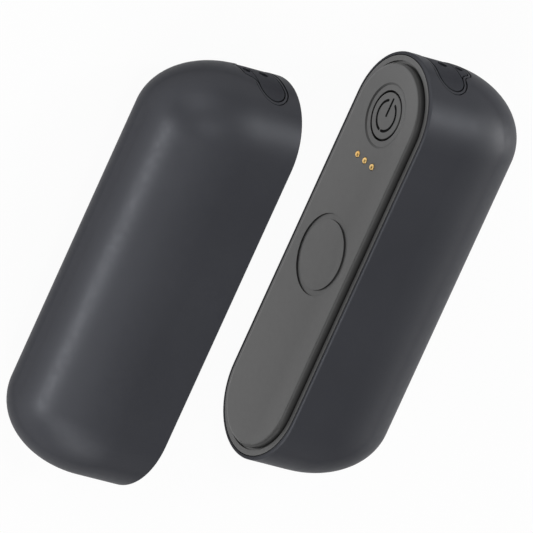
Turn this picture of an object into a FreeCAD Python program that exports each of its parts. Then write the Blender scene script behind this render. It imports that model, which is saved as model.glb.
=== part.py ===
import FreeCAD, Part
import math
import os
import types

import Sketcher

# Magnetic two-in-one hand warmer: two pods that lie apart on their flat sides, mating faces
# towards each other.
#
# Each pod is drawn in its own frame: x runs from the mating face into the pod, y along the pod
# with the port at the +y end, z across the pod. The right pod is placed as drawn, and the left
# pod is turned half round about y.

# Driving dimensions in millimetres: name, value, meaning.
SIZES = [
    ("pod_length", 106.0, "pod from end to end"),
    ("pod_width", 33.0, "pod across its flat sides"),
    ("shell_depth", 34.0, "shell from its rim to its back"),
    ("flat_depth", 12.2, "flat sides of the shell, from its rim to the elliptical rounding"),
    ("back_flat_half", 1.7, "half width of the flat strip along the back"),
    ("shell_wall", 2.0, "wall of the shell"),
    ("rim_wall", 0.8, "wall of the shell beside the face plate's ledge"),
    ("rim_round", 0.5, "rounding of the shell's rim"),
    ("pod_gap", 28.0, "space between the mating faces"),
    ("pod_shift", 14.0, "right pod ahead of the left one along y"),
    ("overrun", 1.0, "how far a cut runs past the face it opens"),
    ("plateau_height", 1.3, "mating face above the ledge"),
    ("plateau_inset", 2.9, "plateau's foot from the pod's outline"),
    ("plateau_round", 0.9, "rounding of the plateau's edge"),
    ("foot_groove_width", 0.6, "groove round the plateau's foot"),
    ("foot_groove_depth", 0.5, "depth of that groove"),
    ("seam_gap", 0.2, "seam between ledge and shell"),
    ("flange_thickness", 1.4, "face plate at the ledge"),
    ("plate_thickness", 1.6, "face plate at the plateau"),
    ("plate_wall", 1.5, "wall of the plateau"),
    ("skirt_gap", 0.15, "face plate's skirt from the shell"),
    ("skirt_wall", 1.0, "wall of the skirt"),
    ("skirt_depth", 2.5, "depth of the skirt"),
    ("button_from_end", 15.9, "button centre from the pod's top end"),
    ("button_radius", 5.75, "button"),
    ("button_gap", 0.45, "gap round the button"),
    ("button_recess", 0.25, "button and its dish below the mating face"),
    ("button_round", 0.2, "rounding of the button's edge"),
    ("button_travel", 0.5, "press of the button"),
    ("dish_radius", 8.0, "dish round the button"),
    ("dish_slope", 0.5, "width of the dish's sloped wall"),
    ("lip_width", 1.0, "button's retaining lip outside its cap"),
    ("lip_gap", 0.2, "lip behind the plate"),
    ("lip_thickness", 0.8, "retaining lip"),
    ("stem_radius", 1.6, "stem under the button"),
    ("stem_length", 0.4, "stem under the button"),
    ("plunger_radius", 1.4, "switch plunger"),
    ("plunger_length", 1.3, "switch plunger"),
    ("plunger_gap", 0.1, "plunger in its switch"),
    ("switch_side", 6.2, "switch housing"),
    ("switch_height", 2.3, "switch housing"),
    ("switch_round", 0.6, "corners of the switch housing"),
    ("ring_radius", 10.1, "outside of the ring groove over the magnet"),
    ("ring_width", 1.5, "ring groove"),
    ("ring_depth", 0.35, "ring groove"),
    ("ring_slope", 0.05, "slope of the ring groove's walls"),
    ("magnet_radius", 8.5, "magnet disc"),
    ("magnet_thickness", 3.0, "magnet disc"),
    ("magnet_chamfer", 0.4, "edges of the magnet disc"),
    ("yoke_gap", 0.15, "magnet in its steel cup"),
    ("yoke_wall", 0.8, "steel cup"),
    ("yoke_depth", 2.2, "cup's wall beside the magnet"),
    ("contact_from_end", 27.9, "contact row from the pod's top end"),
    ("contact_pitch", 3.7, "contact to contact"),
    ("pin_radius", 0.8, "contact pin"),
    ("pin_gap", 0.08, "pin in its guide"),
    ("pin_reach", 0.45, "pin beyond the mating face"),
    ("collar_radius", 1.15, "collar of the pin"),
    ("collar_thickness", 0.4, "collar of the pin"),
    ("guide_length", 0.8, "guide in front of the spring chamber"),
    ("chamber_gap", 0.12, "collar in the spring chamber"),
    ("chamber_floor", 0.5, "block behind the spring chamber"),
    ("spring_wire", 0.2, "wire of the contact spring"),
    ("well_radius", 1.3, "well over a contact pad"),
    ("well_depth", 0.75, "pad below the mating face"),
    ("pad_gap", 0.1, "pad in its well"),
    ("tail_radius", 0.5, "tail of a contact pad"),
    ("block_width", 4.6, "contact block along the pod"),
    ("block_margin", 2.2, "contact block beyond its outer contacts"),
    ("board_thickness", 1.2, "control board"),
    ("board_side_gap", 3.5, "board's edge from the shell"),
    ("part_from_port", 4.45, "components from the receptacle"),
    ("part_height", 2.4, "components on the board"),
    ("part_side", 5.0, "inductor on the board"),
    ("part_space", 1.6, "space between components"),
    ("capacitor_length", 1.9, "capacitor on the board"),
    ("capacitor_width", 1.5, "capacitor on the board"),
    ("cell_from_foot", 17.0, "lithium-ion cell from the pod's lower end"),
    ("cell_from_parts", 5.6, "cell from the components on the board"),
    ("cell_chamfer", 0.5, "edges of the cell"),
    ("cell_gap", 0.15, "cell in its cradle"),
    ("nub_radius", 3.2, "positive end of the cell"),
    ("nub_height", 0.6, "positive end of the cell"),
    ("cradle_web", 2.6, "cradle under the cell"),
    ("cradle_rise", 4.4, "cradle beside the cell"),
    ("cradle_side_gap", 2.5, "cradle from the heating film"),
    ("cradle_short", 3.0, "cell beyond each end of the cradle"),
    ("bar_half_space", 5.0, "half the space between the yoke's two rests"),
    ("bar_width", 2.0, "rest under the yoke"),
    ("bar_half_length", 6.0, "half length of that rest"),
    ("boss_radius", 2.2, "screw boss"),
    ("boss_from_yoke", 0.1, "upper bosses from the magnet's cup"),
    ("boss_from_board", 0.2, "upper bosses from the board's edge"),
    ("boss_from_cradle_end", 3.0, "lower bosses' middle from the cradle's end"),
    ("screw_radius", 0.95, "screw shank"),
    ("screw_length", 6.4, "screw shank"),
    ("screw_gap", 0.08, "screw in its holes"),
    ("head_radius", 1.8, "screw head"),
    ("head_height", 1.2, "screw head"),
    ("head_gap", 0.2, "screw head in its counterbore"),
    ("head_seat", 1.3, "cradle under a screw head"),
    ("tab_thickness", 0.15, "nickel strip"),
    ("tab_half_width", 2.0, "half width of a nickel strip"),
    ("tab_reach", 3.0, "strip past the cell's axis"),
    ("film_gap", 0.1, "adhesive between film and shell"),
    ("film_thickness", 0.3, "heating film"),
    ("film_tail_width", 5.0, "tail of the heating film"),
    ("film_tail_thickness", 0.2, "tail of the heating film"),
    ("film_tail_overlap", 1.2, "tail on the board"),
    ("bead_radius", 1.1, "thermistor bead"),
    ("bead_stand", 5.0, "thermistor's legs"),
    ("leg_radius", 0.2, "thermistor's legs"),
    ("leg_spacing", 0.9, "thermistor's legs"),
    ("bead_from_edge", 3.0, "thermistor from the board's edge"),
    ("bead_from_port", 2.0, "thermistor from the receptacle's back"),
    ("foam_half_width", 3.4, "half width of the foam pad"),
    ("foam_thickness", 4.25, "foam pad behind the cell"),
    ("foam_end", 10.5, "foam pad from each end of the cell"),
    ("foam_gap", 0.15, "foam pad from cell and film"),
    ("port_half_width", 4.47, "half width of the receptacle"),
    ("port_height", 3.2, "receptacle"),
    ("port_length", 7.3, "receptacle"),
    ("port_wall", 0.3, "receptacle's metal"),
    ("port_floor", 1.0, "receptacle behind its cavity"),
    ("port_setback", 0.75, "receptacle's mouth below the recess's floor"),
    ("tongue_half_width", 3.3, "half width of the tongue"),
    ("tongue_thickness", 0.7, "tongue"),
    ("tongue_length", 4.4, "tongue"),
    ("tongue_base", 1.2, "tongue's base"),
    ("tongue_gap", 0.05, "tongue's base in the receptacle"),
    ("slot_gap", 0.25, "shell round the receptacle"),
    ("lobe_half_depth", 4.5, "half depth of the port recess"),
    ("lobe_side", 6.3, "port recess from the pod's flat sides"),
    ("tail_lobe_offset", 4.9, "recess's small lobe behind the port"),
    ("tail_lobe_half_depth", 2.7, "half depth of the small lobe"),
    ("tail_lobe_half_width", 4.1, "half width of the small lobe"),
    ("neck_round", 2.0, "rounding of the recess between its lobes"),
    ("recess_depth", 0.9, "port recess"),
    ("recess_groove_width", 0.3, "groove along the recess's outline"),
    ("recess_groove_depth", 0.45, "depth of that groove"),
    ("land_sink", 0.12, "land inside that groove, below the shell's surface"),
    ("cover_margin", 1.1, "port cover from the recess's outline"),
    ("cover_gap", 0.3, "gap between the port cover and the land"),
    ("cover_sink", 0.1, "cover below the shell's surface"),
    ("cover_thickness", 0.7, "port cover"),
    ("cover_split", 0.2, "gap between flap and anchor"),
    ("plug_half_width", 3.5, "half width of the flap's plug"),
    ("plug_half_height", 0.95, "half height of the flap's plug"),
    ("plug_depth", 0.8, "flap's plug under the flap"),
    ("dimple_radius", 1.2, "dimple in flap and anchor"),
    ("dimple_depth", 0.5, "dimple in flap and anchor"),
    ("post_radius", 1.3, "anchor's post"),
    ("post_head_radius", 1.9, "head of the anchor's post"),
    ("post_head_height", 0.9, "head of the anchor's post"),
    ("post_gap", 0.1, "post in the shell"),
    ("post_head_gap", 0.3, "head of the post from the shell"),
]

# Turns of a contact spring, and the corners of its wire as shares of the wire's thickness
SPRING_TURNS = 4
WIRE_SHARES = [(math.cos(corner * math.pi / 3) / 2, math.sin(corner * math.pi / 3) / 2)
               for corner in range(6)]
# Rounding of a pin's tip, as a share of the pin's radius
DOME_SHARE = 0.8
# Dimple in the cover's anchor, as a share of the one in its flap
ANCHOR_DIMPLE_SHARE = 0.85


class Size:
    """A length that keeps its value and the sheet expression it comes from."""

    def __init__(self, value, text):
        self.value = value
        self.text = text

    def join(self, sign, other, value):
        return Size(value, "(%s %s %s)" % (self.text, sign, as_size(other).text))

    def __add__(self, other):
        return self.join("+", other, self.value + as_size(other).value)

    def __sub__(self, other):
        return self.join("-", other, self.value - as_size(other).value)

    def __mul__(self, other):
        return self.join("*", other, self.value * as_size(other).value)

    def __truediv__(self, other):
        return self.join("/", other, self.value / as_size(other).value)

    def __neg__(self):
        return Size(-self.value, "(0 - %s)" % self.text)


def as_size(number):
    return number if isinstance(number, Size) else Size(float(number), repr(float(number)))


ZERO = as_size(0)

doc = FreeCAD.newDocument("hand_warmer")
sheet = doc.addObject("Spreadsheet::Sheet", "Sizes")
for row, (name, value, meaning) in enumerate(SIZES, start=1):
    sheet.set("A%d" % row, name)
    sheet.set("B%d" % row, str(value))
    sheet.setAlias("B%d" % row, name)
    sheet.set("C%d" % row, meaning)
doc.recompute()
dim = types.SimpleNamespace(**{name: Size(value, "Sizes." + name) for name, value, _ in SIZES})

# Sizes that follow from the driving ones
pod_radius = dim.pod_width / 2
half_length = dim.pod_length / 2
half_run = half_length - pod_radius
rim_x = dim.plateau_height
back_x = rim_x + dim.shell_depth
flat_end = rim_x + dim.flat_depth
flange_back = rim_x + dim.flange_thickness
cavity_radius = pod_radius - dim.shell_wall
button_y = half_length - dim.button_from_end
contact_y = half_length - dim.contact_from_end
lip_front = dim.plate_thickness + dim.lip_gap
stem_back = lip_front + dim.lip_thickness + dim.stem_length
plunger_back = stem_back + dim.plunger_length
switch_front = stem_back + dim.button_travel + dim.lip_gap
board_front = switch_front + dim.switch_height
board_back = board_front + dim.board_thickness
board_half = cavity_radius - dim.board_side_gap
magnet_back = dim.plate_thickness + dim.magnet_thickness
yoke_back = magnet_back + dim.yoke_wall
yoke_inside = dim.magnet_radius + dim.yoke_gap
yoke_outside = yoke_inside + dim.yoke_wall
boss_high = yoke_outside + dim.boss_from_yoke + dim.boss_radius
board_low = boss_high + dim.boss_radius + dim.boss_from_board
film_inset = dim.shell_wall + dim.film_gap
film_inner_inset = film_inset + dim.film_thickness
film_front = board_back + dim.film_tail_thickness
port_x = board_back + dim.port_height / 2
floor_y = half_length - dim.recess_depth
port_mouth = floor_y - dim.port_setback
port_back = port_mouth - dim.port_length
parts_high = port_back - dim.part_from_port
parts_low = parts_high - dim.part_side
cell_low = dim.cell_from_foot - half_length
cell_high = parts_low - dim.cell_from_parts
cell_front = board_back + dim.cradle_web + dim.cell_gap
foam_inset = film_inner_inset + dim.foam_gap
foam_front = back_x - foam_inset - dim.foam_thickness
cell_radius = (foam_front - dim.foam_gap - cell_front) / 2
cell_x = cell_front + cell_radius
cradle_back = board_back + dim.cradle_web + dim.cradle_rise
cradle_half = pod_radius - film_inner_inset - dim.cradle_side_gap
cradle_low = cell_low + dim.cradle_short
cradle_high = cell_high - dim.cradle_short
boss_side = cradle_half - dim.boss_radius
boss_low = cradle_low + dim.boss_from_cradle_end
head_x = board_back + dim.head_seat
tail_lobe_x = port_x + dim.tail_lobe_offset
lobe_half_width = pod_radius - dim.lobe_side
cover_half_depth = dim.lobe_half_depth - dim.cover_margin
cover_half_width = lobe_half_width - dim.cover_margin
cover_inner = dim.cover_sink + dim.cover_thickness


# Document helpers

def bind(item, field, size):
    item.setExpression(field, size.text)


def origin_plane(body, role):
    return [item for item in body.Origin.OriginFeatures if item.Role == role][0]


def new_body(name):
    return doc.addObject("PartDesign::Body", name)


def new_sketch(body, role, right=ZERO, up=ZERO, out=ZERO):
    """Sketch on an origin plane of its body, moved by right and up in the plane and out of it."""
    sketch = body.newObject("Sketcher::SketchObject", "Sketch")
    sketch.AttachmentSupport = [(origin_plane(body, role), "")]
    sketch.MapMode = "FlatFace"
    for axis, size in (("x", right), ("y", up), ("z", out)):
        if size is not ZERO:
            bind(sketch, "AttachmentOffset.Base." + axis, size)
    return sketch


def face_sketch(body, x):
    """Sketch square to the pod's depth: its first axis is y and its second z."""
    return new_sketch(body, "YZ_Plane", out=x)


def axis_sketch(body, y, z=ZERO):
    """Sketch along the pod's depth whose first axis lies at y and z: it holds x and radius."""
    return new_sketch(body, "XZ_Plane", up=z, out=-y)


def vector(x, y):
    return FreeCAD.Vector(x.value, y.value, 0)


def drive(sketch, kind, *where_and_size):
    """Add a dimension whose value is bound to its size."""
    where = where_and_size[:-1]
    size = where_and_size[-1]
    index = sketch.addConstraint(Sketcher.Constraint(kind, *where, size.value))
    sketch.setExpression("Constraints[%d]" % index, size.text)


def pin_point(sketch, edge, end, x, y):
    """Hold one point of the sketch at x and y from its origin."""
    for kind, axis, size in (("DistanceX", -2, x), ("DistanceY", -1, y)):
        if size is ZERO:
            sketch.addConstraint(Sketcher.Constraint("PointOnObject", edge, end, axis))
        else:
            drive(sketch, kind, -1, 1, edge, end, size)


def polygon(sketch, points):
    edges = []
    for start, end in zip(points, points[1:] + points[:1]):
        edges.append(sketch.addGeometry(Part.LineSegment(vector(*start), vector(*end)), False))
    for edge, following in zip(edges, edges[1:] + edges[:1]):
        sketch.addConstraint(Sketcher.Constraint("Coincident", edge, 2, following, 1))
    for edge, (x, y) in zip(edges, points):
        pin_point(sketch, edge, 1, x, y)


def rectangle(sketch, low_x, low_y, high_x, high_y):
    polygon(sketch, [(low_x, low_y), (high_x, low_y), (high_x, high_y), (low_x, high_y)])


def circle(sketch, x, y, radius):
    normal = FreeCAD.Vector(0, 0, 1)
    edge = sketch.addGeometry(Part.Circle(vector(x, y), normal, radius.value), False)
    drive(sketch, "Radius", edge, radius)
    pin_point(sketch, edge, 3, x, y)


def stadium(sketch, x, y, run, radius, upright=False):
    """Two half circles of the radius, with centres run each side of the middle, and two lines."""
    low = (x, y - run) if upright else (x - run, y)
    high = (x, y + run) if upright else (x + run, y)
    turn = math.pi / 2 if upright else 0
    normal = FreeCAD.Vector(0, 0, 1)
    arcs = []
    for centre, start in ((high, turn - math.pi / 2), (low, turn + math.pi / 2)):
        full = Part.Circle(vector(*centre), normal, radius.value)
        arcs.append(sketch.addGeometry(Part.ArcOfCircle(full, start, start + math.pi), False))
    lines = []
    for start, end in ((arcs[0], arcs[1]), (arcs[1], arcs[0])):
        line = Part.LineSegment(sketch.getPoint(start, 2), sketch.getPoint(end, 1))
        lines.append(sketch.addGeometry(line, False))
    for arc, line in ((arcs[0], lines[0]), (arcs[1], lines[1])):
        sketch.addConstraint(Sketcher.Constraint("Tangent", arc, 2, line, 1))
    for line, arc in ((lines[0], arcs[1]), (lines[1], arcs[0])):
        sketch.addConstraint(Sketcher.Constraint("Tangent", line, 2, arc, 1))
    drive(sketch, "Radius", arcs[0], radius)
    pin_point(sketch, arcs[0], 3, *high)
    pin_point(sketch, arcs[1], 3, *low)


def extrude(body, kind, sketch, length, backward=False):
    feature = body.newObject("PartDesign::" + kind, kind)
    feature.Profile = sketch
    feature.Reversed = backward
    bind(feature, "Length", length)
    return feature


def pad(body, sketch, length, backward=False):
    return extrude(body, "Pad", sketch, length, backward)


def pocket(body, sketch, length, backward=False):
    return extrude(body, "Pocket", sketch, length, backward)


def turned(body, kind, sketch, axis="H_Axis", angle=360, backward=False):
    feature = body.newObject("PartDesign::" + kind, kind)
    feature.Profile = sketch
    feature.ReferenceAxis = (sketch, [axis])
    feature.Angle = angle
    feature.Reversed = backward
    return feature


def mirrored(body, feature, role):
    copy = body.newObject("PartDesign::Mirrored", "Mirrored")
    copy.Originals = [feature]
    copy.MirrorPlane = (origin_plane(body, role), [""])
    body.Tip = copy


def dress(body, kind, field, size, chosen):
    """Round or chamfer the edges of the body's last feature that chosen(edge) picks."""
    doc.recompute()
    base = body.Tip
    names = ["Edge%d" % n for n, edge in enumerate(base.Shape.Edges, start=1) if chosen(edge)]
    feature = body.newObject("PartDesign::" + kind, kind)
    feature.Base = (base, names)
    bind(feature, field, size)


NEAR = 1e-4


def edge_at_x(x):
    """Pick edges that lie in the plane at x."""
    def chosen(edge):
        box = edge.BoundBox
        return abs(box.XMin - x.value) < NEAR and abs(box.XMax - x.value) < NEAR
    return chosen


def boolean(kind, name, base, tool):
    item = doc.addObject("Part::" + kind, name)
    item.Base = base
    item.Tool = tool
    return item


def cut(name, base, tool):
    return boolean("Cut", name, base, tool)


def common(name, base, tool):
    return boolean("Common", name, base, tool)


def gather(kind, name, items):
    """One object from several: kind is MultiFuse or Compound."""
    item = doc.addObject("Part::" + kind, name)
    if kind == "Compound":
        item.Links = items
    else:
        item.Shapes = items
    return item


def place(item, x, y, z):
    for axis, size in (("x", x), ("y", y), ("z", z)):
        if size is not ZERO:
            bind(item, "Placement.Base." + axis, size)


def rod(name, radius, length, x, y, z):
    """Cylinder that runs from x into the pod."""
    item = doc.addObject("Part::Cylinder", name)
    bind(item, "Radius", radius)
    bind(item, "Height", length)
    item.Placement.Rotation = FreeCAD.Rotation(FreeCAD.Vector(0, 1, 0), 90)
    place(item, x, y, z)
    return item


def block(name, low, high):
    """Box between two corners."""
    item = doc.addObject("Part::Box", name)
    for field, start, end in zip(("Length", "Width", "Height"), low, high):
        bind(item, field, end - start)
    place(item, *low)
    return item


# Forms that several pieces share, drawn once in the pod's frame

def nose_sketch(body, inset, mouth):
    """Half outline of the pod's cross-section, drawn in by inset, from its mouth to its back."""
    sketch = axis_sketch(body, half_run)
    side = pod_radius - inset
    centre = dim.back_flat_half
    back = back_x - inset
    ellipse = Part.Ellipse(vector(back, centre), vector(flat_end, side), vector(flat_end, centre))
    corners = [(mouth, ZERO), (mouth, side), (flat_end, side), (back, centre), (back, ZERO)]
    lines = []
    for start, end in ((0, 1), (1, 2), (3, 4), (4, 0)):
        line = Part.LineSegment(vector(*corners[start]), vector(*corners[end]))
        lines.append(sketch.addGeometry(line, False))
    arc = sketch.addGeometry(Part.ArcOfEllipse(ellipse, 0, math.pi / 2), False)
    joins = ((lines[0], 2, lines[1], 1), (lines[1], 2, arc, 2), (arc, 1, lines[2], 1))
    for join in joins + ((lines[2], 2, lines[3], 1), (lines[3], 2, lines[0], 1)):
        sketch.addConstraint(Sketcher.Constraint("Coincident", *join))
    for edge, (x, y) in zip((lines[0], lines[1], lines[2], lines[3]),
                            (corners[0], corners[1], corners[3], corners[4])):
        pin_point(sketch, edge, 1, x, y)
    pin_point(sketch, arc, 2, flat_end, side)
    pin_point(sketch, arc, 3, flat_end, centre)
    return sketch


def pod_form(name, inset, mouth, ends=True):
    """Solid with the pod's outline drawn in by inset: a straight run and two turned ends."""
    body = new_body(name)
    sketch = nose_sketch(body, inset, mouth)
    run = pad(body, sketch, half_run * 2)
    mirrored(body, run, "XY_Plane")
    if ends:
        end = turned(body, "Revolution", sketch, angle=180, backward=True)
        mirrored(body, end, "XZ_Plane")
    return body


def stadium_prism(name, x, half_depth, half_width):
    """Prism along y at the pod's top end, with a stadium outline across the end."""
    body = new_body(name)
    sketch = new_sketch(body, "XZ_Plane", out=-half_run)
    stadium(sketch, x, ZERO, half_width - half_depth, half_depth, upright=True)
    pad(body, sketch, pod_radius + dim.overrun, backward=True)
    return body


def recess_prism(name, inset):
    """Prism along y at the top end with the port recess's outline, drawn in by inset.

    The outline is a large lobe over the port and a small one behind it, with a round neck on each
    side that touches both.
    """
    body = new_body(name)
    sketch = new_sketch(body, "XZ_Plane", out=-half_run)
    large = dim.lobe_half_depth - inset
    small = dim.tail_lobe_half_depth - inset
    neck = dim.neck_round + inset
    large_run = lobe_half_width - dim.lobe_half_depth
    small_run = dim.tail_lobe_half_width - dim.tail_lobe_half_depth
    rise = math.atan2(large_run.value - small_run.value, dim.tail_lobe_offset.value)
    apart = math.hypot(large_run.value - small_run.value, dim.tail_lobe_offset.value)
    to_large = large.value + neck.value
    to_small = small.value + neck.value
    large_turn = math.acos((to_large ** 2 + apart ** 2 - to_small ** 2) / (2 * to_large * apart)) - rise
    neck_x = port_x.value + to_large * math.cos(large_turn)
    neck_z = large_run.value + to_large * math.sin(large_turn)
    small_turn = math.atan2(neck_z - small_run.value, neck_x - tail_lobe_x.value)

    def arc(x, z, radius, start, end):
        full = Part.Circle(FreeCAD.Vector(x, z, 0), FreeCAD.Vector(0, 0, 1), radius.value)
        edge = sketch.addGeometry(Part.ArcOfCircle(full, start, end), False)
        drive(sketch, "Radius", edge, radius)
        return edge

    def line(start, end):
        points = sketch.getPoint(*start), sketch.getPoint(*end)
        edge = sketch.addGeometry(Part.LineSegment(*points), False)
        return [(start, (edge, 1)), ((edge, 2), end)]

    def lobe(x, run, radius, start, end):
        edge = arc(x.value, run.value, radius, start, end)
        pin_point(sketch, edge, 3, x, run)
        return edge

    high_large = lobe(port_x, large_run, large, large_turn, math.pi)
    low_large = lobe(port_x, -large_run, large, math.pi, 2 * math.pi - large_turn)
    high_small = lobe(tail_lobe_x, small_run, small, 0, small_turn)
    low_small = lobe(tail_lobe_x, -small_run, small, -small_turn, 0)
    high_neck = arc(neck_x, neck_z, neck, math.pi + large_turn, math.pi + small_turn)
    low_neck = arc(neck_x, -neck_z, neck, math.pi - small_turn, math.pi - large_turn)
    joins = [((high_large, 1), (high_neck, 1)), ((high_neck, 2), (high_small, 2)),
             ((low_large, 2), (low_neck, 2)), ((low_neck, 1), (low_small, 1))]
    joins += line((high_large, 2), (low_large, 1)) + line((low_small, 2), (high_small, 1))
    for first, second in joins:
        sketch.addConstraint(Sketcher.Constraint("Tangent", *first, *second))
    pad(body, sketch, pod_radius + dim.overrun, backward=True)
    return body


outer_form = pod_form("outer_form", ZERO, rim_x)
dress(outer_form, "Fillet", "Radius", dim.rim_round, edge_at_x(rim_x))
cavity_form = pod_form("cavity_form", dim.shell_wall, rim_x - dim.overrun)
land_form = pod_form("land_form", dim.land_sink, rim_x)
groove_form = pod_form("groove_form", dim.recess_groove_depth, rim_x)
floor_form = pod_form("floor_form", dim.recess_depth, rim_x)
cover_top_form = pod_form("cover_top_form", dim.cover_sink, rim_x)
cover_inner_form = pod_form("cover_inner_form", cover_inner, rim_x)
film_outer_form = pod_form("film_outer_form", film_inset, film_front, ends=False)
film_inner_form = pod_form("film_inner_form", film_inner_inset, film_front - dim.overrun, ends=False)
foam_form = pod_form("foam_form", foam_inset, film_front, ends=False)

outline_prism = recess_prism("outline_prism", ZERO)
land_prism = recess_prism("land_prism", dim.recess_groove_width)
pocket_prism = recess_prism("pocket_prism", dim.cover_margin - dim.cover_gap)
cover_prism = recess_prism("cover_prism", dim.cover_margin)
slot_prism = stadium_prism("slot_prism", port_x, dim.port_height / 2 + dim.slot_gap,
                           dim.port_half_width + dim.slot_gap)
flap_prism = stadium_prism("flap_prism", port_x, cover_half_depth, cover_half_width)
split_prism = stadium_prism("split_prism", port_x, cover_half_depth + dim.cover_split,
                            cover_half_width + dim.cover_split)


def end_rod(name, radius, x, low_y, high_y):
    """Cylinder along y in the pod's top end."""
    item = doc.addObject("Part::Cylinder", name)
    bind(item, "Radius", radius)
    bind(item, "Height", high_y - low_y)
    item.Placement.Rotation = FreeCAD.Rotation(FreeCAD.Vector(1, 0, 0), -90)
    place(item, x, low_y, ZERO)
    return item


# Pieces of one pod

def make_shell(pod):
    rebate = new_body("rebate")
    sketch = face_sketch(rebate, rim_x - dim.overrun)
    stadium(sketch, ZERO, ZERO, half_run, pod_radius - dim.rim_wall)
    pad(rebate, sketch, dim.flange_thickness + dim.overrun)
    groove = cut("recess_groove", cut("groove_outline", outline_prism, land_prism), groove_form)
    land = cut("land_opening", land_prism, land_form)
    recess = cut("recess", pocket_prism, floor_form)
    post_hole = end_rod("post_hole", dim.post_radius + dim.post_gap, tail_lobe_x, half_run,
                        half_length + dim.overrun)
    openings = gather("MultiFuse", "shell_openings",
                      [rebate, groove, land, recess, slot_prism, post_hole])
    wall = cut("shell_wall_form", outer_form, cavity_form)
    return cut("shell", wall, openings)


def make_face_plate(pod):
    body = new_body("face_plate")
    plateau_radius = pod_radius - dim.plateau_inset
    skirt_radius = cavity_radius - dim.skirt_gap
    ledge = face_sketch(body, rim_x)
    stadium(ledge, ZERO, ZERO, half_run, pod_radius - dim.rim_wall - dim.seam_gap)
    pad(body, ledge, dim.flange_thickness)
    plateau = face_sketch(body, rim_x)
    stadium(plateau, ZERO, ZERO, half_run, plateau_radius)
    pad(body, plateau, dim.plateau_height, backward=True)
    dress(body, "Fillet", "Radius", dim.plateau_round, edge_at_x(ZERO))
    groove = face_sketch(body, rim_x)
    stadium(groove, ZERO, ZERO, half_run, plateau_radius + dim.foot_groove_width)
    stadium(groove, ZERO, ZERO, half_run, plateau_radius)
    pocket(body, groove, dim.foot_groove_depth, backward=True)
    hollow = face_sketch(body, flange_back)
    stadium(hollow, ZERO, ZERO, half_run, plateau_radius - dim.plate_wall)
    pocket(body, hollow, flange_back - dim.plate_thickness)
    skirt = face_sketch(body, flange_back)
    stadium(skirt, ZERO, ZERO, half_run, skirt_radius)
    stadium(skirt, ZERO, ZERO, half_run, skirt_radius - dim.skirt_wall)
    pad(body, skirt, dim.skirt_depth)
    dish = axis_sketch(body, button_y)
    polygon(dish, [(-dim.overrun, ZERO), (-dim.overrun, dim.dish_radius), (ZERO, dim.dish_radius),
                   (dim.button_recess, dim.dish_radius - dim.dish_slope), (dim.button_recess, ZERO)])
    turned(body, "Groove", dish)
    ring = axis_sketch(body, ZERO)
    ring_inner = dim.ring_radius - dim.ring_width
    polygon(ring, [(-dim.overrun, ring_inner), (-dim.overrun, dim.ring_radius),
                   (ZERO, dim.ring_radius), (dim.ring_depth, dim.ring_radius - dim.ring_slope),
                   (dim.ring_depth, ring_inner + dim.ring_slope), (ZERO, ring_inner)])
    turned(body, "Groove", ring)
    holes = face_sketch(body, -dim.overrun)
    circle(holes, button_y, ZERO, dim.button_radius + dim.button_gap)
    contact_hole = dim.pin_radius + dim.pin_gap if pod.has_pins else dim.well_radius
    for z in contact_rows():
        circle(holes, contact_y, z, contact_hole)
    pocket(body, holes, flange_back + dim.overrun, backward=True)
    bosses = face_sketch(body, dim.plate_thickness)
    pilots = face_sketch(body, board_back)
    for y, z in boss_places():
        circle(bosses, y, z, dim.boss_radius)
        circle(pilots, y, z, dim.screw_radius + dim.screw_gap)
    pad(body, bosses, board_back - dim.plate_thickness)
    pocket(body, pilots, board_back - dim.plate_thickness - dim.screw_gap)
    return body


def contact_rows():
    return (-dim.contact_pitch, ZERO, dim.contact_pitch)


def boss_places():
    return [(y, z) for y in (boss_low, boss_high) for z in (-boss_side, boss_side)]


def make_power_button(pod):
    body = new_body("power_button")
    sketch = axis_sketch(body, button_y)
    lip_radius = dim.button_radius + dim.lip_width
    lip_back = lip_front + dim.lip_thickness
    polygon(sketch, [(dim.button_recess, ZERO), (dim.button_recess, dim.button_radius),
                     (lip_front, dim.button_radius), (lip_front, lip_radius), (lip_back, lip_radius),
                     (lip_back, dim.stem_radius), (stem_back, dim.stem_radius), (stem_back, ZERO)])
    turned(body, "Revolution", sketch)
    dress(body, "Fillet", "Radius", dim.button_round, edge_at_x(dim.button_recess))
    return body


def make_switch_plunger(pod):
    return rod("switch_plunger", dim.plunger_radius, dim.plunger_length, stem_back, button_y, ZERO)


def make_tact_switch(pod):
    body = new_body("tact_switch")
    half = dim.switch_side / 2
    outline = face_sketch(body, switch_front)
    rectangle(outline, button_y - half, -half, button_y + half, half)
    pad(body, outline, dim.switch_height)
    bore = face_sketch(body, switch_front)
    circle(bore, button_y, ZERO, dim.plunger_radius + dim.plunger_gap)
    bore_depth = plunger_back + dim.button_travel + dim.plunger_gap - switch_front
    pocket(body, bore, bore_depth, backward=True)

    def upright(edge):
        return len(edge.Vertexes) == 2 and edge.BoundBox.XLength > dim.switch_height.value - NEAR

    dress(body, "Fillet", "Radius", dim.switch_round, upright)
    return body


def make_control_board(pod):
    body = new_body("control_board")
    sketch = face_sketch(body, board_front)
    run = (half_run - board_low) / 2
    stadium(sketch, board_low + run, ZERO, run, board_half)
    pad(body, sketch, dim.board_thickness)
    square = face_sketch(body, board_front)
    rectangle(square, board_low - board_half - dim.overrun, -board_half - dim.overrun,
              board_low, board_half + dim.overrun)
    pocket(body, square, dim.board_thickness, backward=True)
    return body


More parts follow.
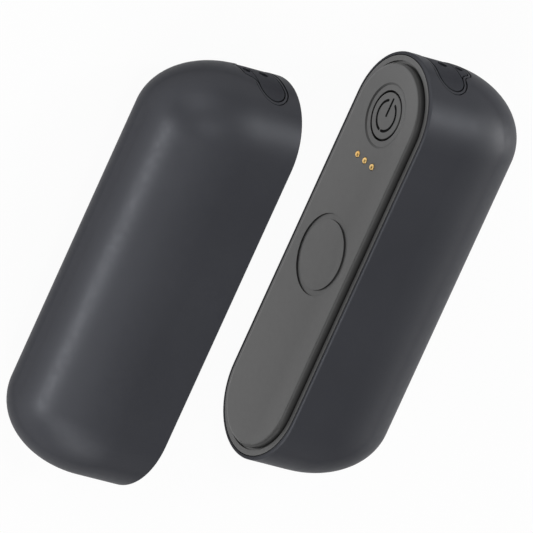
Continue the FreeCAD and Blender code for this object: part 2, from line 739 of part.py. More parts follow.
def make_board_components(pod):
    """Inductor and charger chip on the back of the board, with two capacitors between them."""
    low_part_x = board_back + dim.part_height / 2
    radius = dim.part_side / 2
    inductor = rod("inductor", radius, dim.part_height, board_back, parts_low + radius,
                   -dim.part_space - radius)
    chip = block("charger_chip", (board_back, parts_low, dim.part_space),
                 (low_part_x, parts_high, dim.part_space + dim.part_side))
    capacitors = []
    for y in (parts_low, parts_high - dim.capacitor_length):
        capacitors.append(block("capacitor", (board_back, y, -dim.capacitor_width / 2),
                                (low_part_x, y + dim.capacitor_length, dim.capacitor_width / 2)))
    return gather("Compound", "board_components", [inductor, chip] + capacitors)


def make_cell(pod):
    body = new_body("cell")
    sketch = new_sketch(body, "XY_Plane", right=cell_x)
    polygon(sketch, [(ZERO, cell_low), (cell_radius, cell_low), (cell_radius, cell_high),
                     (dim.nub_radius, cell_high), (dim.nub_radius, cell_high + dim.nub_height),
                     (ZERO, cell_high + dim.nub_height)])
    turned(body, "Revolution", sketch, axis="V_Axis")

    def rim(edge):
        box = edge.BoundBox
        return box.YLength < NEAR and box.ZMax > cell_radius.value - NEAR

    dress(body, "Chamfer", "Size", dim.cell_chamfer, rim)
    return body


def make_cell_cradle(pod):
    body = new_body("cell_cradle")
    outline = face_sketch(body, board_back)
    rectangle(outline, cradle_low, -cradle_half, cradle_high, cradle_half)
    pad(body, outline, cradle_back - board_back)
    saddle = new_sketch(body, "XZ_Plane", out=-(cradle_low - dim.overrun))
    circle(saddle, cell_x, ZERO, cell_radius + dim.cell_gap)
    pocket(body, saddle, cradle_high - cradle_low + dim.overrun * 2)
    rests = face_sketch(body, board_back)
    for low_z in (-dim.bar_half_space - dim.bar_width, dim.bar_half_space):
        rectangle(rests, -dim.bar_half_length, low_z, dim.bar_half_length, low_z + dim.bar_width)
    pad(body, rests, board_back - yoke_back, backward=True)
    shanks = face_sketch(body, board_back)
    heads = face_sketch(body, cradle_back)
    for y, z in boss_places():
        circle(shanks, y, z, dim.screw_radius + dim.screw_gap)
        circle(heads, y, z, dim.head_radius + dim.head_gap)
    pocket(body, shanks, cradle_back - board_back, backward=True)
    pocket(body, heads, cradle_back - head_x)
    return body


def make_cradle_screws(pod):
    screws = []
    for y, z in boss_places():
        shank = rod("shank", dim.screw_radius, dim.screw_length, head_x - dim.screw_length, y, z)
        head = rod("head", dim.head_radius, dim.head_height, head_x, y, z)
        screws.append(boolean("Fuse", "screw", shank, head))
    return gather("Compound", "cradle_screws", screws)


def make_tab_positive(pod):
    low_y = cell_high + dim.nub_height
    return block("tab_positive", (board_back, low_y, -dim.tab_half_width),
                 (cell_x + dim.tab_reach, low_y + dim.tab_thickness, dim.tab_half_width))


def make_tab_negative(pod):
    """Strip down the cell's lower end and along the cradle's front to the board's edge."""
    body = new_body("tab_negative")
    sketch = new_sketch(body, "XY_Plane", out=-dim.tab_half_width)
    inner_x = board_back - dim.tab_thickness
    polygon(sketch, [(cell_x + dim.tab_reach, cell_low), (board_back, cell_low), (board_back, board_low),
                     (inner_x, board_low), (inner_x, cell_low - dim.tab_thickness),
                     (cell_x + dim.tab_reach, cell_low - dim.tab_thickness)])
    pad(body, sketch, dim.tab_half_width * 2)
    return body


def make_heater_film(pod):
    return cut("heater_film", film_outer_form, film_inner_form)


def make_heater_tail(pod):
    return block("heater_tail",
                 (board_back, half_run - dim.film_tail_width, board_half - dim.film_tail_overlap),
                 (film_front, half_run, pod_radius - film_inset))


def make_thermistor(pod):
    y = port_back - dim.bead_from_port
    z = dim.bead_from_edge - board_half
    pieces = []
    for side in (-dim.leg_spacing / 2, dim.leg_spacing / 2):
        pieces.append(rod("leg", dim.leg_radius, dim.bead_stand, board_back, y + side, z))
    bead = doc.addObject("Part::Sphere", "bead")
    bind(bead, "Radius", dim.bead_radius)
    place(bead, board_back + dim.bead_stand, y, z)
    return gather("MultiFuse", "thermistor", pieces + [bead])


def make_foam_pad(pod):
    strip = block("foam_strip", (foam_front, cell_low + dim.foam_end, -dim.foam_half_width),
                  (back_x, cell_high - dim.foam_end, dim.foam_half_width))
    return common("foam_pad", strip, foam_form)


def make_magnet(pod):
    body = new_body("magnet")
    sketch = face_sketch(body, dim.plate_thickness)
    circle(sketch, ZERO, ZERO, dim.magnet_radius)
    pad(body, sketch, dim.magnet_thickness)

    def rim(edge):
        return edge.BoundBox.XLength < NEAR

    dress(body, "Chamfer", "Size", dim.magnet_chamfer, rim)
    return body


def make_magnet_yoke(pod):
    body = new_body("magnet_yoke")
    sketch = axis_sketch(body, ZERO)
    front = magnet_back - dim.yoke_depth
    polygon(sketch, [(magnet_back, ZERO), (magnet_back, yoke_inside), (front, yoke_inside),
                     (front, yoke_outside), (yoke_back, yoke_outside), (yoke_back, ZERO)])
    turned(body, "Revolution", sketch)
    return body


def make_contact_block(pod):
    body = new_body("contact_block")
    half = dim.block_width / 2
    side = dim.contact_pitch + dim.block_margin
    outline = face_sketch(body, dim.plate_thickness)
    rectangle(outline, contact_y - half, -side, contact_y + half, side)
    depth = board_front - dim.plate_thickness
    pad(body, outline, depth)
    bores = face_sketch(body, dim.plate_thickness)
    bore_radius = dim.pin_radius + dim.pin_gap if pod.has_pins else dim.tail_radius + dim.pin_gap
    for z in contact_rows():
        circle(bores, contact_y, z, bore_radius)
    pocket(body, bores, depth - dim.chamber_floor if pod.has_pins else depth, backward=True)
    if pod.has_pins:
        chambers = face_sketch(body, dim.plate_thickness + dim.guide_length)
        for z in contact_rows():
            circle(chambers, contact_y, z, dim.collar_radius + dim.chamber_gap)
        pocket(body, chambers, depth - dim.guide_length - dim.chamber_floor, backward=True)
    return body


def collar_front():
    return dim.plate_thickness + dim.guide_length + dim.pin_gap


def make_contact_pin(z):
    """Pin with a domed tip and the collar that its spring presses on."""
    body = new_body("contact_pin")
    sketch = axis_sketch(body, contact_y, z)
    front = collar_front()
    back = front + dim.collar_thickness
    polygon(sketch, [(-dim.pin_reach, ZERO), (-dim.pin_reach, dim.pin_radius), (front, dim.pin_radius),
                     (front, dim.collar_radius), (back, dim.collar_radius), (back, ZERO)])
    turned(body, "Revolution", sketch)
    dress(body, "Fillet", "Radius", dim.pin_radius * DOME_SHARE, edge_at_x(-dim.pin_reach))
    return body


def make_contact_spring(z):
    """Coil of six-sided wire between the pin's collar and the floor of its chamber."""
    body = new_body("contact_spring")
    start = collar_front() + dim.collar_thickness
    wire_x = start + dim.spring_wire / 2
    sketch = axis_sketch(body, contact_y, z)
    polygon(sketch, [(wire_x + dim.spring_wire * along, dim.pin_radius + dim.spring_wire * out)
                     for along, out in WIRE_SHARES])
    coil = body.newObject("PartDesign::AdditiveHelix", "coil")
    coil.Profile = sketch
    coil.ReferenceAxis = (sketch, ["H_Axis"])
    coil.Mode = "height-turns-angle"
    coil.Turns = SPRING_TURNS
    bind(coil, "Height", board_front - dim.chamber_floor - dim.spring_wire - start)
    return body


def make_contact_pads(pod):
    pads = []
    for z in contact_rows():
        disc = rod("pad_disc", dim.well_radius - dim.pad_gap, dim.plate_thickness - dim.well_depth,
                   dim.well_depth, contact_y, z)
        tail = rod("pad_tail", dim.tail_radius, board_front - dim.plate_thickness, dim.plate_thickness,
                   contact_y, z)
        pads.append(boolean("Fuse", "pad", disc, tail))
    return gather("Compound", "contact_pads", pads)


def make_usb_shell(pod):
    body = new_body("usb_shell")
    radius = dim.port_height / 2
    outline = new_sketch(body, "XZ_Plane", out=-port_back)
    stadium(outline, port_x, ZERO, dim.port_half_width - radius, radius, upright=True)
    pad(body, outline, dim.port_length, backward=True)
    cavity = new_sketch(body, "XZ_Plane", out=-port_mouth)
    stadium(cavity, port_x, ZERO, dim.port_half_width - radius, radius - dim.port_wall, upright=True)
    pocket(body, cavity, dim.port_length - dim.port_floor, backward=True)
    return body


def make_usb_tongue(pod):
    body = new_body("usb_tongue")
    radius = dim.port_height / 2
    low_y = port_back + dim.port_floor
    base = new_sketch(body, "XZ_Plane", out=-low_y)
    stadium(base, port_x, ZERO, dim.port_half_width - radius, radius - dim.port_wall - dim.tongue_gap,
            upright=True)
    pad(body, base, dim.tongue_base, backward=True)
    blade = new_sketch(body, "XZ_Plane", out=-low_y)
    half = dim.tongue_thickness / 2
    rectangle(blade, port_x - half, -dim.tongue_half_width, port_x + half, dim.tongue_half_width)
    pad(body, blade, dim.tongue_base + dim.tongue_length, backward=True)
    return body


def cover_skin(name, prism):
    """The part of a prism that lies between the cover's outer and inner surfaces."""
    return cut(name, common(name + "_outer", prism, cover_top_form), cover_inner_form)


def make_port_cover(pod):
    plug = new_body("plug")
    inner_y = half_length - cover_inner
    sketch = new_sketch(plug, "XZ_Plane", out=-(inner_y - dim.plug_depth))
    stadium(sketch, port_x, ZERO, dim.plug_half_width - dim.plug_half_height, dim.plug_half_height,
            upright=True)
    pad(plug, sketch, dim.plug_depth + dim.cover_thickness / 2, backward=True)
    flap = gather("MultiFuse", "flap_with_plug", [cover_skin("flap", flap_prism), plug])
    dimple = end_rod("flap_dimple", dim.dimple_radius, port_x,
                     half_length - dim.cover_sink - dim.dimple_depth, half_length + dim.overrun)
    return cut("port_cover", flap, dimple)


def make_cover_anchor(pod):
    """Fixed end of the cover: a skin in the small lobe and a headed post through the shell."""
    skin = cut("anchor_skin", cover_skin("anchor", cover_prism), split_prism)
    wall_y = half_run + cavity_radius
    head_y = wall_y - dim.post_head_gap - dim.post_head_height
    post = end_rod("post", dim.post_radius, tail_lobe_x, head_y,
                   half_length - cover_inner + dim.cover_thickness / 2)
    head = end_rod("post_head", dim.post_head_radius, tail_lobe_x, head_y,
                   head_y + dim.post_head_height)
    anchor = gather("MultiFuse", "anchor_with_post", [skin, post, head])
    dimple = end_rod("anchor_dimple", dim.dimple_radius * ANCHOR_DIMPLE_SHARE, tail_lobe_x,
                     half_length - dim.cover_sink - dim.dimple_depth, half_length + dim.overrun)
    return cut("cover_anchor", anchor, dimple)


POD_PIECES = {
    "shell": make_shell,
    "face_plate": make_face_plate,
    "power_button": make_power_button,
    "switch_plunger": make_switch_plunger,
    "tact_switch": make_tact_switch,
    "control_board": make_control_board,
    "board_components": make_board_components,
    "cell": make_cell,
    "cell_cradle": make_cell_cradle,
    "cradle_screws": make_cradle_screws,
    "tab_positive": make_tab_positive,
    "tab_negative": make_tab_negative,
    "heater_film": make_heater_film,
    "heater_tail": make_heater_tail,
    "thermistor": make_thermistor,
    "foam_pad": make_foam_pad,
    "magnet": make_magnet,
    "magnet_yoke": make_magnet_yoke,
    "contact_block": make_contact_block,
    "usb_shell": make_usb_shell,
    "usb_tongue": make_usb_tongue,
    "port_cover": make_port_cover,
    "cover_anchor": make_cover_anchor,
}

RIGHT = types.SimpleNamespace(name="right", has_pins=True, side=1, turn=0)
LEFT = types.SimpleNamespace(name="left", has_pins=False, side=-1, turn=180)
nodes = []


def add_node(pod, name, item):
    """Name a piece after its pod and set it in the pod's place."""
    holder = item
    if item.isDerivedFrom("Part::Primitive"):
        holder = gather("Compound", name, [item])
    holder.Label = pod.name + "_" + name
    holder.Placement.Rotation = FreeCAD.Rotation(FreeCAD.Vector(0, 1, 0), pod.turn)
    bind(holder, "Placement.Base.x", dim.pod_gap / 2 * pod.side)
    bind(holder, "Placement.Base.y", dim.pod_shift / 2 * pod.side)
    bind(holder, "Placement.Base.z", pod_radius)
    nodes.append(holder)


for pod in (RIGHT, LEFT):
    for name, make in POD_PIECES.items():
        add_node(pod, name, make(pod))
for letter, z in zip("abc", contact_rows()):
    add_node(RIGHT, "contact_pin_" + letter, make_contact_pin(z))
    add_node(RIGHT, "contact_spring_" + letter, make_contact_spring(z))
add_node(LEFT, "contact_pads", make_contact_pads(LEFT))

doc.recompute()
for item in doc.Objects:
    if "Invalid" in item.State or "Error" in item.State:
        raise RuntimeError("%s failed to build" % item.Label)
for item in nodes:
    if item.Shape.isNull() or not item.Shape.isValid() or not item.Shape.Solids:
        raise RuntimeError("%s has no valid solid" % item.Label)

os.makedirs("parts", exist_ok=True)
for item in nodes:
    item.Shape.exportStep("parts/%s.step" % item.Label)
    print("%-28s %2d solids %10.2f mm3" % (item.Label, len(item.Shape.Solids), item.Shape.Volume))
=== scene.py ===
import math

import bmesh
import bpy
from mathutils import Matrix, Vector


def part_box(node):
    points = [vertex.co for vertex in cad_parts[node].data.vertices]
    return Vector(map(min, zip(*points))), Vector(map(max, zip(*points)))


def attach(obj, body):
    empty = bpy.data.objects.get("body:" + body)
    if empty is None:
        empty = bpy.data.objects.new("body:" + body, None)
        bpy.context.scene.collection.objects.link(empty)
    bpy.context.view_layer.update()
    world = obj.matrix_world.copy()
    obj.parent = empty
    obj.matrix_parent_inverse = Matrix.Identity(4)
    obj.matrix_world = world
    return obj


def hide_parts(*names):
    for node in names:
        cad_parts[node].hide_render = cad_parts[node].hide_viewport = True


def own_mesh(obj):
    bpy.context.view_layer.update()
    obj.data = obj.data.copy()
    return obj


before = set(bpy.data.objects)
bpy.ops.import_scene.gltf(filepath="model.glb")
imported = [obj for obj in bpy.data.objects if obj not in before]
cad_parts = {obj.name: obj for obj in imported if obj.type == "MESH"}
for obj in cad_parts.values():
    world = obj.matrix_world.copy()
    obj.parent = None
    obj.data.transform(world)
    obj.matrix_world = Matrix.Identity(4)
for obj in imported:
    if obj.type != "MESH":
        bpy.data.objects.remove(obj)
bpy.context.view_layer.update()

MM = 0.001
PODS = ("right", "left")
PINS = ("a", "b", "c")


# Materials

# Most of a noise texture lies between these values
NOISE_LOW, NOISE_HIGH = 0.30, 0.70
# A wave texture goes through 20 radians for each unit of length, at scale 1
WAVE_RADIANS = 20.0
# Layer Weight's Facing, from nearly face on to the angle at which the gloss has faded
FADE_RANGE = (0.12, 0.5)
# Share of the normal that lies along X, from a rounded edge to a flat face
FLAT_RANGE = (0.85, 0.99)
# Samples of the ambient occlusion that paints shade into grooves and gaps
OCCLUSION_SAMPLES = 8
# Width of the grooves and gaps that are darkened with painted shade
PAINTED_SHADE_REACH_MM = 0.8
# The shells' highlights are a little blue
COOL = (0.90, 0.93, 1.0, 1.0)


def srgb(red, green, blue):
    """A colour written in 0 to 255 display values, as linear RGBA."""
    def linear(value):
        value /= 255
        return value / 12.92 if value <= 0.04045 else ((value + 0.055) / 1.055) ** 2.4
    return linear(red), linear(green), linear(blue), 1.0


def grey(value):
    return srgb(value, value, value)


def add_node(tree, kind, inputs=(), **settings):
    """A shader node; each input is either a plain value or the socket that it is linked to."""
    made = tree.nodes.new("ShaderNode" + kind)
    for key, value in settings.items():
        setattr(made, key, value)
    for key, value in dict(inputs).items():
        if isinstance(value, bpy.types.NodeSocket):
            tree.links.new(value, made.inputs[key])
        else:
            made.inputs[key].default_value = value
    return made


class Finish:
    """A node material that is worked out from the object's own coordinates, in metres."""

    def __init__(self, name, **sockets):
        self.material = bpy.data.materials.new(name)
        self.material.use_nodes = True
        self.tree = self.material.node_tree
        self.shader = self.tree.nodes["Principled BSDF"]
        for socket, value in sockets.items():
            self.shader.inputs[socket.replace("_", " ")].default_value = value
        coordinates = self.node("TexCoord")
        self.place, self.normal = coordinates.outputs["Object"], coordinates.outputs["Normal"]

    def node(self, kind, inputs=(), **settings):
        return add_node(self.tree, kind, inputs, **settings)

    def drive(self, socket, source):
        """Links a source to one of the shader's sockets."""
        self.tree.links.new(source, self.shader.inputs[socket])
        return self

    def mapped(self, value, limits, low, high):
        """A value between two limits, as one between low and high."""
        inputs = {"Value": value, "From Min": limits[0], "From Max": limits[1],
                  "To Min": low, "To Max": high}
        return self.node("MapRange", inputs).outputs["Result"]

    def stretched(self, scale):
        """The object's coordinates, scaled by its own amount along each axis."""
        return self.node("Mapping", {"Vector": self.place, "Scale": scale}).outputs["Vector"]

    def noise(self, size_mm, detail=2.0, place=None):
        """Noise whose blotches are about size_mm across."""
        inputs = {"Vector": place or self.place, "Scale": 1 / (size_mm * MM), "Detail": detail}
        return self.node("TexNoise", inputs).outputs["Fac"]

    def cells(self, size_mm):
        """Cells that are about size_mm across."""
        inputs = {"Vector": self.place, "Scale": 1 / (size_mm * MM)}
        return self.node("TexVoronoi", inputs).outputs["Distance"]

    def bands(self, size_mm, axis, distortion=0.0):
        """Waves that follow each other along an axis, each 2 pi times size_mm long."""
        inputs = {"Vector": self.place, "Scale": 1 / (size_mm * MM * WAVE_RADIANS),
                  "Distortion": distortion}
        return self.node("TexWave", inputs, bands_direction=axis).outputs["Fac"]

    def colour(self, fac, *stops):
        """Base colour through a ramp of two stops: each is a place from 0 to 1 and a colour."""
        ramp = self.node("ValToRGB", {"Fac": fac})
        for element, (position, tint) in zip(ramp.color_ramp.elements, stops):
            element.position, element.color = position, tint
        return self.drive("Base Color", ramp.outputs["Color"])

    def mottled(self, size_mm, dark, light, detail=3.0):
        """Base colour that wanders between two near tones."""
        return self.colour(self.noise(size_mm, detail), (NOISE_LOW, dark), (NOISE_HIGH, light))

    def painted_crevice_shade(self, reach_mm):
        """Painted shade: darkens the base colour by ambient occlusion in grooves and gaps that are
        about reach_mm wide or less.
        """
        plain = self.shader.inputs["Base Color"].links[0].from_socket
        shaded = self.node("AmbientOcclusion", {"Color": plain, "Distance": reach_mm * MM},
                           samples=OCCLUSION_SAMPLES)
        return self.drive("Base Color", shaded.outputs["Color"])

    def roughness(self, fac, low, high):
        return self.drive("Roughness", self.mapped(fac, (NOISE_LOW, NOISE_HIGH), low, high))

    def fading_gloss(self, level, edge_share):
        """Specular level that falls to a share of itself where the surface is seen edge on."""
        facing = self.node("LayerWeight", {"Blend": 0.5}).outputs["Facing"]
        faded = self.mapped(facing, FADE_RANGE, level, level * edge_share)
        return self.drive("Specular IOR Level", faded)

    def matt_edges(self, flat_level, edge_level):
        """Specular level that falls where the surface turns away from the object's X axis."""
        along_x = self.node("SeparateXYZ", {"Vector": self.normal}).outputs["X"]
        flat = self.node("Math", {0: along_x}, operation="ABSOLUTE").outputs["Value"]
        return self.drive("Specular IOR Level",
                          self.mapped(flat, FLAT_RANGE, edge_level, flat_level))

    def bump(self, fac, depth_mm):
        relief = self.node("Bump", {"Height": fac, "Distance": depth_mm * MM})
        return self.drive("Normal", relief.outputs["Normal"])


def soft_touch():
    made = Finish("soft_touch", Specular_Tint=COOL).fading_gloss(level=0.52, edge_share=0.12)
    # Painted shade in the shell's grooves and gaps, through ambient occlusion
    made.mottled(28, srgb(54, 55, 60), srgb(58, 59, 64)).painted_crevice_shade(PAINTED_SHADE_REACH_MM)
    made.roughness(made.noise(1.6, detail=3.0), 0.44, 0.50)
    return made.bump(made.noise(0.22), depth_mm=0.004).material


def satin_grey(name, dark, light):
    made = Finish(name, IOR=1.85).matt_edges(flat_level=0.5, edge_level=0.08)
    # Painted shade in the plate's grooves and gaps, through ambient occlusion
    made.mottled(22, grey(dark), grey(light)).painted_crevice_shade(PAINTED_SHADE_REACH_MM)
    made.roughness(made.noise(1.1, detail=3.0), 0.36, 0.42)
    return made.bump(made.noise(0.30), depth_mm=0.002).material


def cover_rubber():
    made = Finish("cover_rubber", Specular_Tint=COOL).fading_gloss(level=0.34, edge_share=0.1)
    # Painted shade in the cover's grooves and gaps, through ambient occlusion
    made.mottled(9, srgb(52, 53, 58), srgb(56, 57, 62)).painted_crevice_shade(PAINTED_SHADE_REACH_MM)
    made.roughness(made.noise(0.9, detail=3.0), 0.55, 0.66)
    return made.bump(made.noise(0.16), depth_mm=0.004).material


def icon_ink():
    made = Finish("icon_ink", Specular_IOR_Level=0.05)
    made.mottled(0.6, srgb(6, 6, 7), srgb(12, 12, 13), detail=2.0)
    return made.roughness(made.noise(0.3), 0.5, 0.7).material


def moulded(name, dark, light, rough, grain_mm):
    """Plain moulded plastic with a fine grain."""
    made = Finish(name).mottled(6, dark, light)
    made.roughness(made.noise(0.8), rough - 0.05, rough + 0.06)
    return made.bump(made.noise(grain_mm), depth_mm=0.006).material


def metal(name, dark, light, rough, grain=(1, 1, 1)):
    """Plain or plated metal with a fine grain, drawn out along an axis where grain is below 1."""
    made = Finish(name, Metallic=1.0).mottled(3, dark, light)
    drawn = made.noise(0.12, place=made.stretched(grain))
    made.roughness(drawn, rough - 0.05, rough + 0.07)
    return made.bump(drawn, depth_mm=0.002).material


def circuit_board():
    made = Finish("circuit_board")
    tracks = made.bands(2.4, "Z", distortion=6.0)
    made.colour(tracks, (0.46, srgb(16, 62, 42)), (0.54, srgb(28, 86, 58)))
    made.roughness(made.noise(0.7), 0.30, 0.42)
    return made.bump(tracks, depth_mm=0.02).material


def cell_wrap():
    made = Finish("cell_wrap", Coat_Weight=0.2, Coat_Roughness=0.25)
    made.mottled(14, srgb(36, 84, 122), srgb(42, 96, 138), detail=4.0)
    made.roughness(made.noise(1.2), 0.28, 0.40)
    return made.bump(made.noise(5), depth_mm=0.03).material


def heater_film():
    made = Finish("heater_film")
    tracks = made.bands(3.2, "Y")
    made.colour(tracks, (0.40, srgb(176, 104, 34)), (0.60, srgb(142, 74, 24)))
    made.roughness(made.noise(1.5), 0.24, 0.36)
    return made.bump(tracks, depth_mm=0.02).material


def foam():
    made = Finish("foam", Specular_IOR_Level=0.15)
    pores = made.cells(0.7)
    made.colour(pores, (0.10, srgb(92, 92, 94)), (0.60, srgb(136, 136, 138)))
    made.roughness(made.noise(0.8), 0.85, 0.97)
    return made.bump(pores, depth_mm=0.15).material


RUBBER = cover_rubber()
BLACK = moulded("black_plastic", srgb(24, 24, 25), srgb(31, 31, 32), rough=0.42, grain_mm=0.2)
FRAME = moulded("frame_plastic", srgb(60, 62, 64), srgb(70, 72, 74), rough=0.48, grain_mm=0.25)
PART_GREY = moulded("component_grey", srgb(46, 46, 48), srgb(58, 58, 60), rough=0.50, grain_mm=0.15)
GOLD = metal("gold_contact", srgb(252, 202, 120), srgb(255, 220, 150), rough=0.42)
STEEL = metal("steel", srgb(150, 150, 152), srgb(172, 172, 174), rough=0.30, grain=(1, 0.1, 1))
NICKEL = metal("nickel", srgb(176, 172, 162), srgb(196, 192, 182), rough=0.26, grain=(0.1, 1, 1))
PLATING = metal("magnet_plating", srgb(168, 170, 174), srgb(188, 190, 194), rough=0.20)
FILM = heater_film()
FOAM = foam()
ICON = icon_ink()

FINISHES = {
    "shell": soft_touch(), "face_plate": satin_grey("satin_grey", 64, 68),
    "power_button": satin_grey("button_grey", 65, 69),
    "switch_plunger": BLACK, "tact_switch": BLACK, "control_board": circuit_board(),
    "board_components": PART_GREY, "cell": cell_wrap(), "cell_cradle": FRAME,
    "cradle_screws": STEEL, "tab_positive": NICKEL, "tab_negative": NICKEL,
    "heater_film": FILM, "heater_tail": FILM, "thermistor": BLACK, "foam_pad": FOAM,
    "magnet": PLATING, "magnet_yoke": STEEL, "contact_block": BLACK, "usb_shell": STEEL,
    "usb_tongue": BLACK, "port_cover": RUBBER, "cover_anchor": RUBBER, "contact_pads": GOLD,
}
for pin_name in PINS:
    FINISHES["contact_pin_" + pin_name] = GOLD
    FINISHES["contact_spring_" + pin_name] = STEEL

for node_name, node_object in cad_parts.items():
    node_object.data.materials.clear()
    node_object.data.materials.append(FINISHES[node_name.split("_", 1)[1]])


# Pieces of the scene's own

def new_piece(name, mesh, material, body):
    """A piece made from a bmesh, with its faces turned outwards, that rides a body."""
    bmesh.ops.recalc_face_normals(mesh, faces=mesh.faces)
    data = bpy.data.meshes.new(name)
    mesh.to_mesh(data)
    mesh.free()
    data.materials.append(material)
    piece = bpy.data.objects.new(name, data)
    bpy.context.scene.collection.objects.link(piece)
    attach(piece, body)
    return piece


def skin(mesh, rings, smooth):
    """Faces between each ring of points and the next, with both end rings closed."""
    for ring, following in zip(rings, rings[1:]):
        for side, corner in enumerate(ring):
            other = (side + 1) % len(ring)
            face = mesh.faces.new((corner, ring[other], following[other], following[side]))
            face.smooth = smooth
    mesh.faces.new(rings[0])
    mesh.faces.new(rings[-1][::-1])


ICON_RADIUS = 3.75 * MM
ICON_STROKE = 0.66 * MM
ICON_OPENING = math.radians(27)
ICON_BREAK = math.radians(8)
ICON_BAR = 4.3 * MM
ICON_LIFT = 0.02 * MM
ICON_DEPTH = 0.05 * MM
ICON_STEPS = 40
# The pen's round ends stop short of a quarter turn, so that their last two points don't meet
CAP_TURN = math.radians(85)
CAP_STEPS = 6


def stroke(points, width):
    """Pairs of points along both edges of a line that is drawn with a round pen."""
    pairs = []

    def pair(point, along, half):
        across = Vector((-along.y, along.x)) * half
        pairs.append((point + across, point - across))

    def cap(point, along, angles):
        for angle in angles:
            reach = along * math.sin(angle) * width / 2
            pair(point + reach, along, math.cos(angle) * width / 2)
    quarter = [CAP_TURN * step / CAP_STEPS for step in range(1, CAP_STEPS + 1)]
    cap(points[0], (points[1] - points[0]).normalized(), [-angle for angle in quarter[::-1]])
    for index, point in enumerate(points):
        before, after = points[max(index - 1, 0)], points[min(index + 1, len(points) - 1)]
        pair(point, (after - before).normalized(), width / 2)
    cap(points[-1], (points[-1] - points[-2]).normalized(), quarter)
    return pairs


def power_icon(pod):
    """The standard power symbol as a thin inlay on the button: a ring in two halves and a bar."""
    def half_ring(start, end):
        angles = [start + (end - start) * step / ICON_STEPS for step in range(ICON_STEPS + 1)]
        return [Vector((math.cos(angle), math.sin(angle))) * ICON_RADIUS for angle in angles]
    half = math.pi - ICON_BREAK
    lines = [half_ring(ICON_OPENING, half), half_ring(-ICON_OPENING, -half),
             [Vector((0, 0)), Vector((ICON_BAR, 0))]]
    low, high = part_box(pod + "_power_button")
    facing = -1 if pod == "right" else 1
    face_x = low.x if pod == "right" else high.x
    centre_y, centre_z = (low.y + high.y) / 2, (low.z + high.z) / 2
    mesh = bmesh.new()
    for line in lines:
        rings = []
        for left, right in stroke(line, ICON_STROKE):
            corners = ((left, ICON_LIFT), (right, ICON_LIFT),
                       (right, -ICON_DEPTH), (left, -ICON_DEPTH))
            rings.append([mesh.verts.new((face_x + facing * out, centre_y + at.x, centre_z + at.y))
                          for at, out in corners])
        skin(mesh, rings, smooth=False)
    icon = new_piece(pod + "_power_icon", mesh, ICON, pod + "_button")


PAD_ROWS, PAD_COLUMNS = 48, 16
PAD_FULLNESS = 0.96
# The higher the power, the squarer the cushion's edge
PAD_POWER_ALONG, PAD_POWER_ACROSS = 12, 4
WELD_DISTANCE = 1e-7


def foam_cushion(pod):
    """The foam pad behind the cell: a closed cushion, crowned on both sides, in the pad's space."""
    low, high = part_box(pod + "_foam_pad")
    middle, half = (low + high) / 2, (high - low) / 2
    mesh = bmesh.new()

    def point(row, column, side):
        along = math.sin(math.pi * (row / PAD_ROWS - 0.5))
        across = math.sin(math.pi * (column / PAD_COLUMNS - 0.5))
        fall = (1 - along ** PAD_POWER_ALONG) * (1 - across ** PAD_POWER_ACROSS)
        crown = math.sqrt(max(0.0, fall))
        return mesh.verts.new((middle.x + side * half.x * PAD_FULLNESS * crown,
                               middle.y + half.y * along, middle.z + half.z * across))
    for side in (1, -1):
        grid = [[point(row, column, side) for column in range(PAD_COLUMNS + 1)]
                for row in range(PAD_ROWS + 1)]
        for row, following in zip(grid, grid[1:]):
            for column in range(PAD_COLUMNS):
                face = mesh.faces.new((row[column], row[column + 1],
                                       following[column + 1], following[column]))
                face.smooth = True
    bmesh.ops.remove_doubles(mesh, verts=mesh.verts, dist=WELD_DISTANCE)
    cushion = new_piece(pod + "_foam_cushion", mesh, FOAM, pod + "_pod")
    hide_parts(pod + "_foam_pad")


SPRING_WIRE = 0.2 * MM
SPRING_TURNS = 4
TURN_STEPS = 24
WIRE_SIDES = 10


def contact_spring(pin):
    """A contact pin's coil spring, in the space of the CAD one."""
    node, joint = "right_contact_spring_" + pin, "pin_" + pin + "_press"
    low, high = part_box(node)
    middle, length = (low + high) / 2, high.x - low.x
    coil_radius = (high.z - low.z - SPRING_WIRE) / 2
    steps = SPRING_TURNS * TURN_STEPS
    around = [2 * math.pi * side / WIRE_SIDES for side in range(WIRE_SIDES)]
    mesh = bmesh.new()
    rings = []
    for step in range(steps + 1):
        turned = 2 * math.pi * step / TURN_STEPS
        out = Vector((0, math.cos(turned), math.sin(turned)))
        along = low.x + SPRING_WIRE / 2 + (length - SPRING_WIRE) * step / steps
        centre = Vector((along, middle.y, middle.z)) + out * coil_radius
        spokes = [out * math.cos(angle) + Vector((math.sin(angle), 0, 0)) for angle in around]
        rings.append([mesh.verts.new(centre + spoke * SPRING_WIRE / 2) for spoke in spokes])
    skin(mesh, rings, smooth=True)
    coil = new_piece("right_coil_" + pin, mesh, STEEL, "right_pod")
    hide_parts(node)
    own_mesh(coil)


for pod_name in PODS:
    power_icon(pod_name)
    foam_cushion(pod_name)
for pin_name in PINS:
    contact_spring(pin_name)


# Floor, light and camera

FLOOR_HALF = 4.5
FLOOR_COLOUR = (0.9, 0.9, 0.9, 1)
FLOOR_GLOW_SHARE = 0.95
WORLD_COLOUR = (1, 1, 1, 1)
WORLD_STRENGTH = 0.15


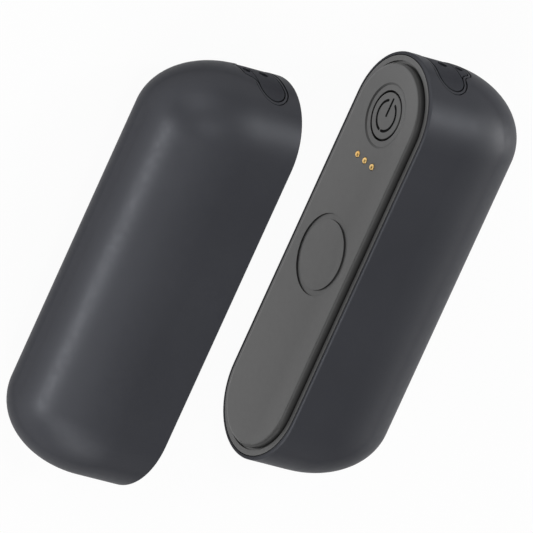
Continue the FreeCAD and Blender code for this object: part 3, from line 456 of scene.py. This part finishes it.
def floor():
    """A pale floor that glows where it is seen or mirrored, so that little of it is in shadow."""
    data = bpy.data.meshes.new("floor")
    data.from_pydata([(-FLOOR_HALF, -FLOOR_HALF, 0), (FLOOR_HALF, -FLOOR_HALF, 0),
                      (FLOOR_HALF, FLOOR_HALF, 0), (-FLOOR_HALF, FLOOR_HALF, 0)],
                     [], [(0, 1, 2, 3)])
    made = bpy.data.objects.new("floor", data)
    bpy.context.scene.collection.objects.link(made)
    material = bpy.data.materials.new("floor")
    material.use_nodes = True
    tree = material.node_tree
    tree.nodes.clear()

    def calculate(operation, first, second):
        return add_node(tree, "Math", {0: first, 1: second}, operation=operation).outputs["Value"]
    path = add_node(tree, "LightPath").outputs
    seen = calculate("MAXIMUM", path["Is Camera Ray"], path["Is Glossy Ray"])
    seen = calculate("MAXIMUM", seen, path["Is Transmission Ray"])
    share = calculate("MULTIPLY", seen, FLOOR_GLOW_SHARE)
    diffuse = add_node(tree, "BsdfDiffuse", {"Color": FLOOR_COLOUR}).outputs["BSDF"]
    glow = add_node(tree, "Emission").outputs["Emission"]
    mix = add_node(tree, "MixShader", {"Fac": share, 1: diffuse, 2: glow}).outputs["Shader"]
    add_node(tree, "OutputMaterial", {"Surface": mix})
    data.materials.append(material)


floor()

world = bpy.data.worlds.new("studio")
bpy.context.scene.world = world
world.use_nodes = True
surround = world.node_tree.nodes["Background"]
surround.inputs["Color"].default_value = WORLD_COLOUR
surround.inputs["Strength"].default_value = WORLD_STRENGTH

# The point that the lamps face, at about half the pods' height
AIM = Vector((0, 0, 0.016))
# Azimuth from +X and elevation in degrees; distance, width and height in metres; radiance
LAMPS = {
    "side_light": (196, 16, 0.7, 0.35, 0.12, 14.5),
    "end_light": (47, 38, 0.7, 0.22, 0.20, 9.4),
    "corner_light": (15, 4, 0.7, 0.28, 0.10, 26.0),
    "rim_light": (345, 4, 0.7, 0.28, 0.10, 5.0),
    "back_light": (120, 20, 1.2, 0.60, 0.50, 2.5),
    "plate_light": (235, 42, 0.7, 0.35, 0.35, 2.2),
    "fill_light": (275, 28, 0.7, 0.35, 0.35, 3.0),
    "pin_light": (132, 62, 0.7, 0.09, 0.09, 20.0),
}


def softbox(name, azimuth, elevation, distance, width, height, radiance):
    """A rectangular lamp that faces the object."""
    data = bpy.data.lights.new(name, "AREA")
    data.shape, data.size, data.size_y = "RECTANGLE", width, height
    data.energy = radiance * math.pi * width * height
    lamp = bpy.data.objects.new(name, data)
    bpy.context.scene.collection.objects.link(lamp)
    azimuth, elevation = math.radians(azimuth), math.radians(elevation)
    away = Vector((math.cos(azimuth) * math.cos(elevation),
                   math.sin(azimuth) * math.cos(elevation), math.sin(elevation)))
    lamp.location = away * distance + AIM
    lamp.rotation_euler = away.to_track_quat("Z", "Y").to_euler()


for lamp_name, lamp_values in LAMPS.items():
    softbox(lamp_name, *lamp_values)

# The camera's axes and the place of the object's origin along them, fitted to the photo's outlines
CAMERA_RIGHT = Vector((0.80094, 0.40312, 0.44278))
CAMERA_DOWN = Vector((0.21204, -0.88251, 0.41990))
CAMERA_FORWARD = Vector((0.55996, -0.24244, -0.79221))
ORIGIN_SEEN = Vector((-8.26, -6.615, 3313.993)) * MM
FOCAL_PIXELS = 14000.0
IMAGE_PIXELS = 533.0
SENSOR = 36.0
CLIP_NEAR, CLIP_FAR = 0.1, 40.0

camera_data = bpy.data.cameras.new("camera")
camera_data.sensor_fit = "HORIZONTAL"
camera_data.sensor_width = SENSOR
camera_data.lens = FOCAL_PIXELS * SENSOR / IMAGE_PIXELS
camera_data.clip_start, camera_data.clip_end = CLIP_NEAR, CLIP_FAR
camera = bpy.data.objects.new("camera", camera_data)
bpy.context.scene.collection.objects.link(camera)
turn = Matrix((CAMERA_RIGHT, -CAMERA_DOWN, -CAMERA_FORWARD)).transposed()
spot = -(CAMERA_RIGHT * ORIGIN_SEEN.x + CAMERA_DOWN * ORIGIN_SEEN.y
         + CAMERA_FORWARD * ORIGIN_SEEN.z)
camera.matrix_world = Matrix.Translation(spot) @ turn.to_4x4()
bpy.context.scene.camera = camera

bpy.context.scene.view_settings.view_transform = "Standard"
